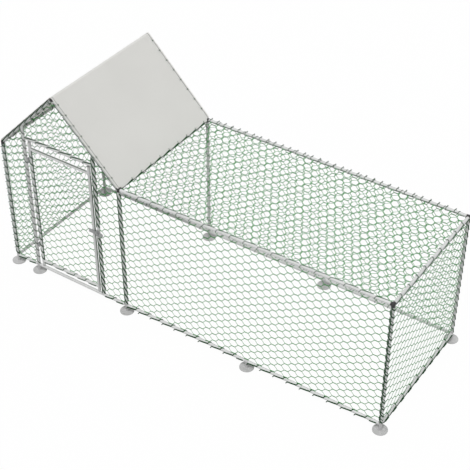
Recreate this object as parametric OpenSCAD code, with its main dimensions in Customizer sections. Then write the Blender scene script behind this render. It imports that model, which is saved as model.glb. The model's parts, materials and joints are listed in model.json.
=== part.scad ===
// Chicken run of galvanised round tube: a gabled bay with a hinged door under a cloth roof,
// and a longer flat-topped run, both closed with hexagonal wire netting.
// Millimetres, +Z up. X runs along the length, Y from front to back, and the origin lies
// on the ground under the middle of the frame.

/* [Frame] */
// Length of the gabled bay, between post centres
bay_len = 1000; // [900:10:1400]
// Length of the flat-topped run, between post centres
run_len = 2000; // [1200:10:3000]
// Depth from front to back, between post centres
depth = 1000; // [700:10:1500]
// Height of the eaves above the bottom rails, between tube centres
eave_h = 990; // [850:10:1600]
// Rise of the ridge above the eaves, between tube centres
ridge_rise = 508; // [400:2:700]
// Height of the bottom rails' centres above the ground
rail_h = 55; // [45:1:90]

/* [Tube] */
// Outside diameter of the frame tubes
tube_d = 22; // [19:0.5:25]
// Wall of the frame tubes
tube_wall = 1; // [0.8:0.1:1.5]
// Length of a peg inside a tube
peg_len = 40; // [25:1:55]
// Radial clearance of a peg in its tube
peg_gap = 0.2; // [0.1:0.05:0.4]
// Clearance between a tube's cut end and what it meets
butt_gap = 0.2; // [0.1:0.05:0.4]

/* [Joints] */
// How far a plastic connector stands proud of the tubes
connector_proud = 2; // [1:0.5:3]
// How far a connector's rounded centre stands proud of its collars
ball_proud = 0.4; // [0.2:0.1:1]
// How far a collar reaches past the tubes that cross it
collar_reach = 4.5; // [3:0.5:14]
// How much slimmer each next collar of a joint is, on the radius
socket_step = 0.3; // [0.2:0.1:0.5]

/* [Feet] */
// Diameter of a foot plate
foot_d = 100; // [70:5:140]
// Thickness of a foot plate
foot_t = 5; // [3:0.5:8]

/* [Door] */
// Width of the doorway, between post centres
doorway_w = 600; // [480:10:700]
// Drop of the header below the rafters at the door posts, between tube centres
header_drop = 95; // [70:5:200]
// Distance from the hinge post to the door's stile, between centres
hinge_gap = 50; // [44:1:60]
// Distance from the door's other stile to the latch post, between centres
latch_gap = 40; // [36:1:50]
// Clear gap above and below the door
door_play = 9; // [5:1:20]
// How far the stiles run on above the door's top rail
top_tail = 54; // [30:1:100]
// How far the stiles run on below the door's bottom rail
bottom_tail = 36; // [30:1:80]

/* [Hinges] */
// Diameter of a hinge pin
hinge_pin_d = 8; // [6:0.5:9]
// Wall of a hinge eye
eye_wall = 3; // [2:0.5:4]
// Height of a hinge eye
eye_h = 30; // [20:1:45]
// How far a hinge pin stands out above its eye
pin_tip = 5; // [2:1:12]
// Gap between a hinge eye and the arm under it
eye_seat = 0.3; // [0.2:0.1:1]
// Radial running clearance of every pin in its hole
running_gap = 0.05; // [0.02:0.01:0.1]
// Distance of each hinge from the door rail nearest to it
hinge_offset = 120; // [70:5:250]

/* [Hasp and staple] */
// Height of the latch above the bottom rails
latch_h = 550; // [300:10:700]
// Thickness of the latch plates
plate_t = 2; // [1.5:0.25:3]
// Gap between a latch plate and the round tube behind it
seat_gap = 0.2; // [0.1:0.05:0.4]
// Height of the hasp's plate
hasp_h = 30; // [26:1:40]
// How far the hasp's plate reaches past the stile towards the door
hasp_reach = 36; // [20:1:50]
// How far the hasp's hinge line stands off the side of the stile
hasp_step = 3; // [2:0.5:5]
// Diameter of the hasp's hinge pin
hasp_pin_d = 3.5; // [3:0.25:4.5]
// Wall of the hasp's knuckles
knuckle_wall = 1.75; // [1.25:0.25:2.5]
// Gap beside and between the hasp's knuckles
knuckle_gap = 0.8; // [0.5:0.1:1.5]
// Gap between the hasp's leaf and the staple's plate
leaf_gap = 0.5; // [0.3:0.1:1.5]
// How much lower the leaf is than the hasp's plate
leaf_step = 2; // [1:0.5:4]
// How far the leaf runs on past its slot
leaf_tab = 34; // [15:1:50]
// Cut on the corners of the leaf's free end
leaf_chamfer = 8; // [2:0.5:11]
// Play all round the staple's head in the leaf's slot
slot_play = 3; // [2.5:0.25:4]
// Length of the staple's head
head_len = 18; // [14:1:22]
// Width of the staple's head
head_w = 8; // [7.5:0.5:9]
// Thickness of the staple's head
head_t = 6; // [4:0.5:9]
// Gap between the leaf and the staple's head
head_gap = 1.5; // [0.8:0.1:3]
// Diameter of the staple's stem
stem_d = 6; // [5:0.5:7]
// Diameter of the rivet head that holds the stem inside the post
rivet_d = 9; // [8.5:0.5:12]
// Thickness of that rivet head
rivet_t = 2; // [1.5:0.25:4]
// Clearance round the stem in the post, and under its rivet head
rivet_gap = 0.4; // [0.2:0.1:0.8]
// Width of the staple's plate
staple_w = 26; // [20:1:36]
// Margin round the bolts on the latch plates
bolt_margin = 3; // [2:0.5:6]
// Diameter of the latch bolts
bolt_d = 4; // [3:0.5:5]
// Clearance of a bolt in its hole, on the radius
bolt_gap = 0.2; // [0.1:0.05:0.4]
// Diameter of a bolt's head
bolt_head_d = 8; // [7.5:0.5:9]
// Height of a bolt's head
bolt_head_h = 2.5; // [1.5:0.25:3]
// Thickness of a nut
nut_t = 3.2; // [2.5:0.1:5]
// How far a bolt's end stands out of its nut
bolt_tail = 2; // [0.5:0.5:5]

/* [Netting] */
// Width of a mesh across its flats
mesh_w = 250; // [180:5:320]
// Thickness of a strand
strand = 2; // [1.5:0.25:4]
// Gap between a net's edge and the tube that carries it
net_gap = 0.3; // [0.2:0.1:1]
// Room left at a net's corners beside the connectors
net_room = 4; // [2:0.5:10]

/* [Roof cover] */
// Thickness of the cloth
cloth_t = 1.5; // [1:0.25:3]
// Gap between the cloth and the connectors that it lies on
cloth_gap = 0.3; // [0.2:0.1:1]
// How far the cloth stops short of the eaves at its four corners, along the slope
corner_cut = 24; // [20:1:60]
// Direction in which the cloth ends round the eave tubes, above level
hem_angle = 20; // [14:1:30]

/* [Hidden] */
$fn = 48;

tube_r = tube_d / 2;
bore_r = tube_r - tube_wall;
peg_r = bore_r - peg_gap;
connector_r = tube_r + connector_proud;
ball_r = connector_r + ball_proud;

x_left = -(bay_len + run_len) / 2;
x_joint = x_left + bay_len;
x_right = x_joint + run_len;
x_mid = (x_joint + x_right) / 2;
x_ridge = (x_left + x_joint) / 2;
y_front = -depth / 2;
y_back = depth / 2;
z_rail = rail_h;
z_eave = z_rail + eave_h;
z_ridge = z_eave + ridge_rise;
roof_pitch = atan2(ridge_rise, bay_len / 2);
slope_len = norm([bay_len / 2, ridge_rise]);
// Least angle between two tubes that meet, and the collars that keep such tubes apart
least_angle = min(90, 180 - 2 * roof_pitch);
collar = tube_r / tan(least_angle / 2) + collar_reach;
tube_cut = collar + butt_gap;

x_hinge_post = x_ridge - doorway_w / 2;
x_latch_post = x_ridge + doorway_w / 2;
z_door_post = z_eave + (bay_len - doorway_w) / 2 * tan(roof_pitch);
z_header = z_door_post - header_drop;

x_hinge_stile = x_hinge_post + hinge_gap;
x_latch_stile = x_latch_post - latch_gap;
z_stile_low = z_rail + tube_r + door_play;
z_stile_high = z_header - tube_r - door_play;
z_door_low = z_stile_low + bottom_tail;
z_door_high = z_stile_high - top_tail;

x_hinge = x_hinge_post + hinge_gap / 2;
hinge_pin_r = hinge_pin_d / 2;
eye_r = hinge_pin_r + eye_wall;
eye_bore_r = hinge_pin_r + running_gap;
eye_lift = hinge_pin_r + eye_seat;
z_hinges = [z_door_low + hinge_offset, z_door_high - hinge_offset];

z_latch = z_rail + latch_h;
y_plate = y_front - tube_r - seat_gap;
y_plate_face = y_plate - plate_t;
x_hasp = x_latch_stile + tube_r + hasp_step;
y_hasp = y_plate_face - leaf_gap - plate_t / 2;
hasp_pin_r = hasp_pin_d / 2;
knuckle_r = hasp_pin_r + knuckle_wall;
knuckle_bore_r = hasp_pin_r + running_gap;
knuckle_h = hasp_h / 3;
leaf_h = hasp_h - leaf_step;
slot_len = head_len + 2 * slot_play;
slot_h = head_w + slot_play;
leaf_end = x_latch_post + slot_len / 2 + leaf_tab;
bolt_r = bolt_d / 2;
bolt_hole_r = bolt_r + bolt_gap;
hasp_bolt_z = hasp_h / 2 - bolt_head_d / 2 - bolt_margin;
staple_bolt_z = leaf_h / 2 + bolt_head_d / 2 + bolt_margin;
staple_h = 2 * (staple_bolt_z + bolt_head_d / 2 + bolt_margin);
stem_r = stem_d / 2;
rivet_r = rivet_d / 2;
y_rivet = y_front - sqrt(pow(bore_r, 2) - pow(rivet_r, 2)) + rivet_gap;
y_head = y_hasp - plate_t / 2 - head_gap;

mesh_side = mesh_w / sqrt(3);
net_edge = tube_r + net_gap;
cloth_in = ball_r + cloth_gap;
cloth_out = cloth_in + cloth_t;
cloth_half = depth / 2 + cloth_in;
hem_half = depth / 2 - cloth_in;

LEFT = [-1, 0, 0];
RIGHT = [1, 0, 0];
FRONT = [0, -1, 0];
BACK = [0, 1, 0];
DOWN = [0, 0, -1];
UP = [0, 0, 1];
UP_RIGHT = [bay_len / 2, 0, ridge_rise];
UP_LEFT = [-bay_len / 2, 0, ridge_rise];
// Overlap of cutting shapes past the faces that they cut
OVER = 1;

// Colours
module steel() color([0.72, 0.74, 0.75]) children();
module black_plastic() color([0.08, 0.08, 0.08]) children();
module green_wire() color([0.13, 0.27, 0.16]) children();
module grey_cloth() color([0.83, 0.82, 0.80]) children();

// Unit vector along a vector
function unit(v) = v / norm(v);

// Corner of a flat outline that has gone round past its end
function wrap(points, i) = points[(i + len(points)) % len(points)];

// Inward normal of the edge that leaves corner i of an outline drawn anticlockwise
function edge_normal(points, i) =
    let (along = unit(wrap(points, i + 1) - wrap(points, i)))
    [-along.y, along.x];

// A convex outline drawn in by a distance
function inset(points, distance) = [
    for (i = [0 : len(points) - 1])
        let (before = edge_normal(points, i - 1), after = edge_normal(points, i))
        points[i] + distance * (before + after) / (1 + before * after)
];

// Half of the angle inside corner i of an outline
function half_angle(points, i) =
    acos(unit(wrap(points, i + 1) - points[i]) * unit(wrap(points, i - 1) - points[i])) / 2;

// How far along its edges a net's corner is cut off, to pass the collars of a connector there
function net_corner(half) =
    let (pass = collar * cos(half) + connector_r * sin(half) + net_room)
    max(net_room, (pass - net_edge / sin(half)) / cos(half));

// A net's outline with its corners cut off
function cut_corners(points) = [
    for (i = [0 : len(points) - 1])
        for (towards = [-1, 1])
            points[i] + net_corner(half_angle(points, i)) * unit(wrap(points, i + towards) - points[i])
];

// Turns +Z to a direction
module along(direction)
    rotate([0, acos(unit(direction).z), atan2(direction.y, direction.x)])
        children();

// A round bar between two points
module bar(start, end, r)
    translate(start)
        along(end - start)
            cylinder(r = r, h = norm(end - start));

// A tube between two points on the joints' centres, cut back at its ends
module tube(start, end, start_cut = tube_cut, end_cut = tube_cut) {
    span = norm(end - start) - start_cut - end_cut;
    translate(start)
        along(end - start)
            translate([0, 0, start_cut])
                difference() {
                    cylinder(r = tube_r, h = span);
                    translate([0, 0, -OVER]) cylinder(r = bore_r, h = span + 2 * OVER);
                }
}

// What a tube takes out of another tube that is saddle-cut to it
module saddle(start, end) bar(start, end, tube_r + butt_gap);

// Sockets with pegs that go into the tubes along the given directions, each a step slimmer than the last
module sockets(directions, r)
    for (i = [0 : len(directions) - 1])
        along(directions[i]) {
            cylinder(r = r - i * socket_step, h = collar);
            translate([0, 0, collar - OVER]) cylinder(r = peg_r, h = peg_len + OVER);
        }

// A moulded connector at a top corner of the frame
module connector(place, directions)
    translate(place) {
        sphere(r = ball_r);
        sockets(directions, connector_r);
    }

// A foot: a round plate, a stem up to the bottom rails, and pegs for the tubes
module foot(place, directions)
    translate(place) {
        cylinder(d = foot_d, h = foot_t);
        cylinder(r = tube_r, h = z_rail);
        translate([0, 0, z_rail]) sockets(directions, tube_r - socket_step);
    }

// A foot under a post, which also carries a peg for that post
module post_foot(place, directions) {
    foot(place, directions);
    translate([place.x, place.y, z_rail]) sockets([UP], tube_r);
}

// Hexagonal netting in its own plane, within an outline through its tubes' centres.
// Two sides of each mesh lie along the plane's first axis.
module netting(outline) {
    edge = cut_corners(inset(outline, net_edge));
    field = inset(edge, strand);
    low = [min([for (p = edge) p.x]), min([for (p = edge) p.y])];
    high = [max([for (p = edge) p.x]), max([for (p = edge) p.y])];
    columns = ceil((high.x - low.x) / (3 * mesh_side)) + 1;
    rows = ceil((high.y - low.y) / (2 * mesh_w)) + 1;
    linear_extrude(height = strand, center = true)
        difference() {
            polygon(edge);
            intersection() {
                polygon(field);
                translate((low + high) / 2)
                    for (column = [-columns : columns], row = [-rows : rows])
                        translate([1.5 * mesh_side * column, mesh_w * (row + abs(column % 2) / 2)])
                            circle(r = (mesh_w - strand) / sqrt(3), $fn = 6);
            }
        }
}

// Planes of the front and back walls, of the end walls and of the flat top
module wall_plane(y) translate([0, y, 0]) rotate([90, 0, 0]) children();
module end_plane(x) translate([x, 0, 0]) rotate([90, 0, 90]) children();
module top_plane(z) translate([0, 0, z]) rotate([180, 0, 90]) children();

// Outlines of the netted walls through their tubes' centres, drawn anticlockwise
run_outline = [[x_joint, z_rail], [x_right, z_rail], [x_right, z_eave], [x_joint, z_eave]];
end_outline = [[y_front, z_rail], [y_back, z_rail], [y_back, z_eave], [y_front, z_eave]];
top_outline = [[y_front, x_joint], [y_back, x_joint], [y_back, x_right], [y_front, x_right]];
bay_outline = [
    [x_left, z_rail], [x_joint, z_rail], [x_joint, z_eave], [x_ridge, z_ridge], [x_left, z_eave]
];
hinge_side_outline = [
    [x_left, z_rail], [x_hinge_post, z_rail], [x_hinge_post, z_door_post], [x_left, z_eave]
];
latch_side_outline = [
    [x_latch_post, z_rail], [x_joint, z_rail], [x_joint, z_eave], [x_latch_post, z_door_post]
];
gable_outline = [
    [x_hinge_post, z_header], [x_latch_post, z_header], [x_latch_post, z_door_post],
    [x_ridge, z_ridge], [x_hinge_post, z_door_post]
];
door_outline = [
    [x_hinge_stile, z_door_low], [x_latch_stile, z_door_low],
    [x_latch_stile, z_door_high], [x_hinge_stile, z_door_high]
];

// Feet under the four corners
module feet_corner() steel() {
    post_foot([x_left, y_front, 0], [RIGHT, BACK]);
    post_foot([x_right, y_front, 0], [LEFT, BACK]);
    post_foot([x_left, y_back, 0], [RIGHT, FRONT]);
    post_foot([x_right, y_back, 0], [LEFT, FRONT]);
}

// Feet under the posts that stand along the long sides
module feet_line() steel()
    for (place = [[x_hinge_post, y_front, 0], [x_joint, y_front, 0], [x_joint, y_back, 0]])
        post_foot(place, [LEFT, RIGHT]);

// Feet under the middle joints of the run's bottom rails
module feet_mid() steel()
    for (y = [y_front, y_back])
        foot([x_mid, y, 0], [LEFT, RIGHT]);

// Joint of the latch post with the bottom rails
module threshold_tee() steel()
    translate([x_latch_post, y_front, z_rail]) {
        sockets([LEFT, RIGHT], tube_r - socket_step);
        sockets([UP], tube_r);
    }

// Bottom rail from the left corner to the hinge post
module rail_bottom_hinge_side() steel()
    tube([x_left, y_front, z_rail], [x_hinge_post, y_front, z_rail]);

// Bare tube under the door
module threshold_tube() steel()
    tube([x_hinge_post, y_front, z_rail], [x_latch_post, y_front, z_rail]);

// Bottom rail from the latch post to the end of the gabled bay
module rail_bottom_latch_side() steel()
    tube([x_latch_post, y_front, z_rail], [x_joint, y_front, z_rail]);

// The two bottom rails of one long side of the run
module run_rails(y) {
    tube([x_joint, y, z_rail], [x_mid, y, z_rail]);
    tube([x_mid, y, z_rail], [x_right, y, z_rail]);
}

module rails_bottom_front_run() steel() run_rails(y_front);

module rails_bottom_back_run() steel() run_rails(y_back);

module rail_bottom_back_bay() steel()
    tube([x_left, y_back, z_rail], [x_joint, y_back, z_rail]);

module rail_bottom_left() steel()
    tube([x_left, y_front, z_rail], [x_left, y_back, z_rail]);

module rail_bottom_right() steel()
    tube([x_right, y_front, z_rail], [x_right, y_back, z_rail]);

// A post from the bottom rails to the eaves
module post(x, y) tube([x, y, z_rail], [x, y, z_eave]);

module post_front_left() steel() post(x_left, y_front);

module post_front_joint() steel() post(x_joint, y_front);

module post_front_right() steel() post(x_right, y_front);

module post_back_left() steel() post(x_left, y_back);

module post_back_joint() steel() post(x_joint, y_back);

module post_back_right() steel() post(x_right, y_back);

// A door post, saddle-cut under its rafter, with a peg for the header
module door_post(x, eave_x, header_side) {
    difference() {
        tube([x, y_front, z_rail], [x, y_front, z_door_post], end_cut = 0);
        saddle([eave_x, y_front, z_eave], [x_ridge, y_front, z_ridge]);
    }
    translate([x, y_front, z_header])
        along(header_side)
            cylinder(r = peg_r, h = tube_r + peg_len);
}

module post_hinge() steel() door_post(x_hinge_post, x_left, RIGHT);

module post_latch() steel()
    difference() {
        door_post(x_latch_post, x_joint, LEFT);
        bar([x_latch_post, y_plate, z_latch], [x_latch_post, y_front, z_latch], stem_r + rivet_gap);
        bolt_holes(x_latch_post, staple_bolt_z);
    }

module rail_top_front() steel()
    tube([x_joint, y_front, z_eave], [x_right, y_front, z_eave]);

module rail_top_back() steel()
    tube([x_joint, y_back, z_eave], [x_right, y_back, z_eave]);

module rail_top_right() steel()
    tube([x_right, y_front, z_eave], [x_right, y_back, z_eave]);

// Eave tube between the gabled bay and the run
module eave_tube_joint() steel()
    tube([x_joint, y_front, z_eave], [x_joint, y_back, z_eave]);

module eave_tube_left() steel()
    tube([x_left, y_front, z_eave], [x_left, y_back, z_eave]);

module ridge_tube() steel()
    tube([x_ridge, y_front, z_ridge], [x_ridge, y_back, z_ridge]);

// A rafter from an eave to the ridge
module rafter(eave_x, y) tube([eave_x, y, z_eave], [x_ridge, y, z_ridge]);

// A front rafter, with a peg for the door post under it
module front_rafter(eave_x, post_x) {
    rafter(eave_x, y_front);
    translate([post_x, y_front, z_door_post])
        along(DOWN)
            cylinder(r = peg_r, h = tube_r / cos(roof_pitch) + peg_len);
}

module rafter_front_left() steel() front_rafter(x_left, x_hinge_post);

module rafter_front_right() steel() front_rafter(x_joint, x_latch_post);

module rafter_back_left() steel() rafter(x_left, y_back);

module rafter_back_right() steel() rafter(x_joint, y_back);

// Tube over the door, saddle-cut between the door posts
module door_header() steel()
    difference() {
        tube([x_hinge_post, y_front, z_header], [x_latch_post, y_front, z_header], 0, 0);
        for (x = [x_hinge_post, x_latch_post])
            saddle([x, y_front, z_header - tube_d], [x, y_front, z_header + tube_d]);
    }

module connectors_eave() black_plastic() {
    connector([x_left, y_front, z_eave], [DOWN, BACK, UP_RIGHT]);
    connector([x_left, y_back, z_eave], [DOWN, FRONT, UP_RIGHT]);
}

module connectors_ridge() black_plastic() {
    connector([x_ridge, y_front, z_ridge], [BACK, -UP_RIGHT, -UP_LEFT]);
    connector([x_ridge, y_back, z_ridge], [FRONT, -UP_RIGHT, -UP_LEFT]);
}

module connectors_joint() black_plastic() {
    connector([x_joint, y_front, z_eave], [DOWN, BACK, RIGHT, UP_LEFT]);
    connector([x_joint, y_back, z_eave], [DOWN, FRONT, RIGHT, UP_LEFT]);
}

module connectors_corner() black_plastic() {
    connector([x_right, y_front, z_eave], [DOWN, BACK, LEFT]);
    connector([x_right, y_back, z_eave], [DOWN, FRONT, LEFT]);
}

module net_front_run() green_wire() wall_plane(y_front) netting(run_outline);

module net_hinge_side() green_wire() wall_plane(y_front) netting(hinge_side_outline);

module net_latch_side() green_wire() wall_plane(y_front) netting(latch_side_outline);

module net_gable() green_wire() wall_plane(y_front) netting(gable_outline);

module net_back_bay() green_wire() wall_plane(y_back) netting(bay_outline);

module net_back_run() green_wire() wall_plane(y_back) netting(run_outline);

module net_left() green_wire() end_plane(x_left) netting(end_outline);

module net_right() green_wire() end_plane(x_right) netting(end_outline);

module net_top() green_wire() top_plane(z_eave) netting(top_outline);

// A length of the cloth's section bent round a tube, between two directions under 180 degrees apart
module cloth_arc(from_angle, to_angle) {
    far = cloth_out / cos((to_angle - from_angle) / 2) + OVER;
    intersection() {
        difference() {
            circle(r = cloth_out);
            circle(r = cloth_in);
        }
        polygon([[0, 0], far * [cos(from_angle), sin(from_angle)],
            far * [cos((from_angle + to_angle) / 2), sin((from_angle + to_angle) / 2)],
            far * [cos(to_angle), sin(to_angle)]]);
    }
}

// Half of the cloth's section, from the ridge down to a distance short of the eave
module cloth_slope(short)
    translate([x_ridge, z_ridge]) {
        cloth_arc(90 - roof_pitch - OVER, 90 + OVER);
        rotate(-roof_pitch)
            translate([0, cloth_in])
                square([slope_len - short, cloth_t]);
    }

// Half of the cloth's section with its hem round the eave tube
module cloth_slope_hemmed() {
    cloth_slope(0);
    translate([x_joint, z_eave]) cloth_arc(hem_angle, 90 - roof_pitch + OVER);
}

// Both halves of a section through the roof, extruded to either side of the middle
module over_ridge(half_depth)
    wall_plane(0)
        linear_extrude(height = 2 * half_depth, center = true) {
            children();
            translate([2 * x_ridge, 0]) mirror([1, 0]) children();
        }

// Cloth over the ridge and both slopes, hemmed round the eave tubes between the connectors
module roof_cover() grey_cloth() {
    over_ridge(cloth_half) cloth_slope(corner_cut);
    over_ridge(hem_half) cloth_slope_hemmed();
}

// A stile of the door
module stile(x) tube([x, y_front, z_stile_low], [x, y_front, z_stile_high], 0, 0);

module door_stile_hinge() steel() stile(x_hinge_stile);

module door_stile_latch() steel()
    difference() {
        stile(x_latch_stile);
        bolt_holes(x_latch_stile, hasp_bolt_z);
    }

// A rail of the door, saddle-cut between the stiles
module door_rail(z)
    difference() {
        tube([x_hinge_stile, y_front, z], [x_latch_stile, y_front, z], 0, 0);
        for (x = [x_hinge_stile, x_latch_stile])
            saddle([x, y_front, z - tube_d], [x, y_front, z + tube_d]);
    }

module door_rail_top() steel() door_rail(z_door_high);

module door_rail_bottom() steel() door_rail(z_door_low);

module door_net() green_wire() wall_plane(y_front) netting(door_outline);

// Arms on the hinge post, each with an upright pin
module hinge_pintles() steel()
    for (z = z_hinges)
        difference() {
            union() {
                bar([x_hinge_post, y_front, z], [x_hinge, y_front, z], hinge_pin_r);
                translate([x_hinge, y_front, z - hinge_pin_r])
                    cylinder(r = hinge_pin_r, h = hinge_pin_r + eye_lift + eye_h + pin_tip);
            }
            saddle([x_hinge_post, y_front, z - tube_d], [x_hinge_post, y_front, z + tube_d]);
        }

// Eyes on the door's stile that turn on the pins
module hinge_eyes() steel()
    for (z = z_hinges)
        difference() {
            translate([0, 0, z + eye_lift]) {
                translate([x_hinge, y_front, 0]) cylinder(r = eye_r, h = eye_h);
                bar([x_hinge, y_front, eye_h / 2], [x_hinge_stile, y_front, eye_h / 2], hinge_pin_r);
            }
            translate([x_hinge, y_front, z]) cylinder(r = eye_bore_r, h = eye_lift + eye_h + OVER);
            saddle([x_hinge_stile, y_front, z - tube_d], [x_hinge_stile, y_front, z + eye_h + tube_d]);
        }

// Heights of a pair of latch bolts at an offset above and below the latch
function bolt_heights(offset) = [z_latch - offset, z_latch + offset];

// Clearance holes for a pair of latch bolts through a plate and the tube behind it
module bolt_holes(x, offset)
    for (z = bolt_heights(offset))
        bar([x, y_plate_face - OVER, z], [x, y_front + tube_d, z], bolt_hole_r);

// A pair of bolts through a latch plate and its tube, with their nuts behind
module bolts(x, offset)
    for (z = bolt_heights(offset)) {
        y_nut = y_front + tube_r + seat_gap;
        y_end = y_nut + nut_t + bolt_tail;
        bar([x, y_plate_face, z], [x, y_plate_face - bolt_head_h, z], bolt_head_d / 2);
        bar([x, y_plate_face - bolt_head_h / 2, z], [x, y_end, z], bolt_r);
        difference() {
            translate([x, y_nut, z]) along(BACK) cylinder(d = bolt_head_d, h = nut_t, $fn = 6);
            bar([x, y_nut - OVER, z], [x, y_end, z], bolt_r + running_gap);
        }
    }

// One of the hasp's three knuckles, counted from the middle one, without its bore
module knuckle(place)
    translate([x_hasp, y_hasp, z_latch + place * knuckle_h])
        cylinder(r = knuckle_r, h = knuckle_h - knuckle_gap, center = true);

// Bore for the hasp's pin
module knuckle_bore()
    translate([x_hasp, y_hasp, z_latch])
        cylinder(r = knuckle_bore_r, h = hasp_h + 2 * OVER, center = true);

// Plate on the door's stile with the outer knuckles of the hasp
module hasp_plate() steel()
    difference() {
        union() {
            translate([x_latch_stile - hasp_reach, y_plate_face, z_latch - hasp_h / 2])
                cube([x_hasp - knuckle_r - knuckle_gap - x_latch_stile + hasp_reach, plate_t, hasp_h]);
            for (place = [-1, 1]) {
                knuckle(place);
                translate([x_latch_stile, y_plate_face, z_latch + place * knuckle_h])
                    translate([0, 0, -(knuckle_h - knuckle_gap) / 2])
                        cube([x_hasp - x_latch_stile, plate_t, knuckle_h - knuckle_gap]);
            }
        }
        knuckle_bore();
        bolt_holes(x_latch_stile, hasp_bolt_z);
    }

module hasp_pin() steel()
    translate([x_hasp, y_hasp, z_latch])
        cylinder(r = hasp_pin_r, h = hasp_h, center = true);

module hasp_bolts() steel() bolts(x_latch_stile, hasp_bolt_z);

// Swinging leaf of the hasp, with a slot that drops over the staple
module hasp_leaf() steel()
    difference() {
        union() {
            knuckle(0);
            translate([x_hasp, y_hasp - plate_t / 2, z_latch - (knuckle_h - knuckle_gap) / 2])
                cube([x_latch_post - x_hasp - slot_len / 2, plate_t, knuckle_h - knuckle_gap]);
            wall_plane(y_hasp)
                linear_extrude(height = plate_t, center = true)
                    difference() {
                        polygon([
                            [x_hasp + knuckle_r + knuckle_gap, z_latch - leaf_h / 2],
                            [leaf_end - leaf_chamfer, z_latch - leaf_h / 2],
                            [leaf_end, z_latch - leaf_h / 2 + leaf_chamfer],
                            [leaf_end, z_latch + leaf_h / 2 - leaf_chamfer],
                            [leaf_end - leaf_chamfer, z_latch + leaf_h / 2],
                            [x_hasp + knuckle_r + knuckle_gap, z_latch + leaf_h / 2]
                        ]);
                        translate([x_latch_post, z_latch]) square([slot_len, slot_h], center = true);
                    }
        }
        knuckle_bore();
    }

// Plate on the latch post that carries the staple
module staple_plate() steel()
    difference() {
        translate([x_latch_post - staple_w / 2, y_plate_face, z_latch - staple_h / 2])
            cube([staple_w, plate_t, staple_h]);
        bar([x_latch_post, y_plate_face - OVER, z_latch], [x_latch_post, y_front, z_latch],
            stem_r + running_gap);
        bolt_holes(x_latch_post, staple_bolt_z);
    }

module staple_bolts() steel() bolts(x_latch_post, staple_bolt_z);

// Turning staple: a stem riveted into the post, with a long head that locks across the slot
module staple() steel() {
    bar([x_latch_post, y_rivet + rivet_t, z_latch], [x_latch_post, y_head - head_t / 2, z_latch], stem_r);
    bar([x_latch_post, y_rivet, z_latch], [x_latch_post, y_rivet + rivet_t, z_latch], rivet_r);
    wall_plane(y_head - head_t / 2)
        linear_extrude(height = head_t, center = true)
            translate([x_latch_post, z_latch])
                intersection() {
                    square([head_len, head_w], center = true);
                    circle(d = head_len);
                }
}

feet_corner();
feet_line();
feet_mid();
threshold_tee();
rail_bottom_hinge_side();
threshold_tube();
rail_bottom_latch_side();
rails_bottom_front_run();
rail_bottom_back_bay();
rails_bottom_back_run();
rail_bottom_left();
rail_bottom_right();
post_front_left();
post_hinge();
post_latch();
post_front_joint();
post_front_right();
post_back_left();
post_back_joint();
post_back_right();
rail_top_front();
rail_top_back();
rail_top_right();
eave_tube_joint();
eave_tube_left();
ridge_tube();
rafter_front_left();
rafter_front_right();
rafter_back_left();
rafter_back_right();
door_header();
connectors_eave();
connectors_ridge();
connectors_joint();
connectors_corner();
net_front_run();
net_hinge_side();
net_latch_side();
net_gable();
net_back_bay();
net_back_run();
net_left();
net_right();
net_top();
roof_cover();
door_stile_hinge();
door_stile_latch();
door_rail_top();
door_rail_bottom();
door_net();
hinge_pintles();
hinge_eyes();
hasp_plate();
hasp_pin();
hasp_bolts();
hasp_leaf();
staple_plate();
staple_bolts();
staple();
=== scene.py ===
"""Chicken run: netting, lacing, roof cloth, the finishes of its tubes and fittings, and a pale studio."""
import json
import math
import bpy
from mathutils import Matrix, Vector


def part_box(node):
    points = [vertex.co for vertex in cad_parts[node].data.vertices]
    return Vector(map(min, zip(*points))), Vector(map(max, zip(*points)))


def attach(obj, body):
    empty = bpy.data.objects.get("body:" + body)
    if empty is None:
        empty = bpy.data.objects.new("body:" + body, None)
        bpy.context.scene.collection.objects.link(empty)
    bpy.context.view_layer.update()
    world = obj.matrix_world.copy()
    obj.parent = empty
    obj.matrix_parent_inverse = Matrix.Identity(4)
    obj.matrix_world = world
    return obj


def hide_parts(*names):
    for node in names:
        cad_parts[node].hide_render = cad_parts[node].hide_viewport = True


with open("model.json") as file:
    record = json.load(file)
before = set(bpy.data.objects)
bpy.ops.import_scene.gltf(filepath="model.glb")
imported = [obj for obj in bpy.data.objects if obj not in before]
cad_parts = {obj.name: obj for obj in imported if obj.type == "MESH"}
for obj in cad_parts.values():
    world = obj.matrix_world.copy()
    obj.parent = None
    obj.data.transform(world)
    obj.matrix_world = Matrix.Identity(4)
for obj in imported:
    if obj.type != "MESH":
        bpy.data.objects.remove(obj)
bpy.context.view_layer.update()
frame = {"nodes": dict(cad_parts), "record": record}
nodes = frame["nodes"]

X = Vector((1, 0, 0))
Y = Vector((0, 1, 0))
Z = Vector((0, 0, 1))


# Lines of the frame

def low(node):
    return Vector(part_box(node)[0])


def high(node):
    return Vector(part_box(node)[1])


def middle(node):
    return (low(node) + high(node)) / 2


TUBE_R = (high("rail_top_right").z - low("rail_top_right").z) / 2
X_LEFT = middle("post_front_left").x
X_JOINT = middle("post_front_joint").x
X_RIGHT = middle("post_front_right").x
X_RUN_MIDDLE = (X_JOINT + X_RIGHT) / 2
X_RIDGE = middle("ridge_tube").x
X_HINGE_POST = low("post_hinge").x + TUBE_R
X_LATCH_POST = high("post_latch").x - TUBE_R
Y_FRONT = middle("rail_top_front").y
Y_BACK = middle("rail_top_back").y
Z_RAIL = middle("rail_bottom_left").z
Z_EAVE = middle("rail_top_right").z
Z_RIDGE = middle("ridge_tube").z
Z_HEADER = middle("door_header").z
PITCH = math.atan2(Z_RIDGE - Z_EAVE, X_RIDGE - X_LEFT)
SLOPE = math.hypot(X_RIDGE - X_LEFT, Z_RIDGE - Z_EAVE)
Z_DOOR_POST = Z_EAVE + (X_HINGE_POST - X_LEFT) * math.tan(PITCH)
X_HINGE_STILE = middle("door_stile_hinge").x
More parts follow.
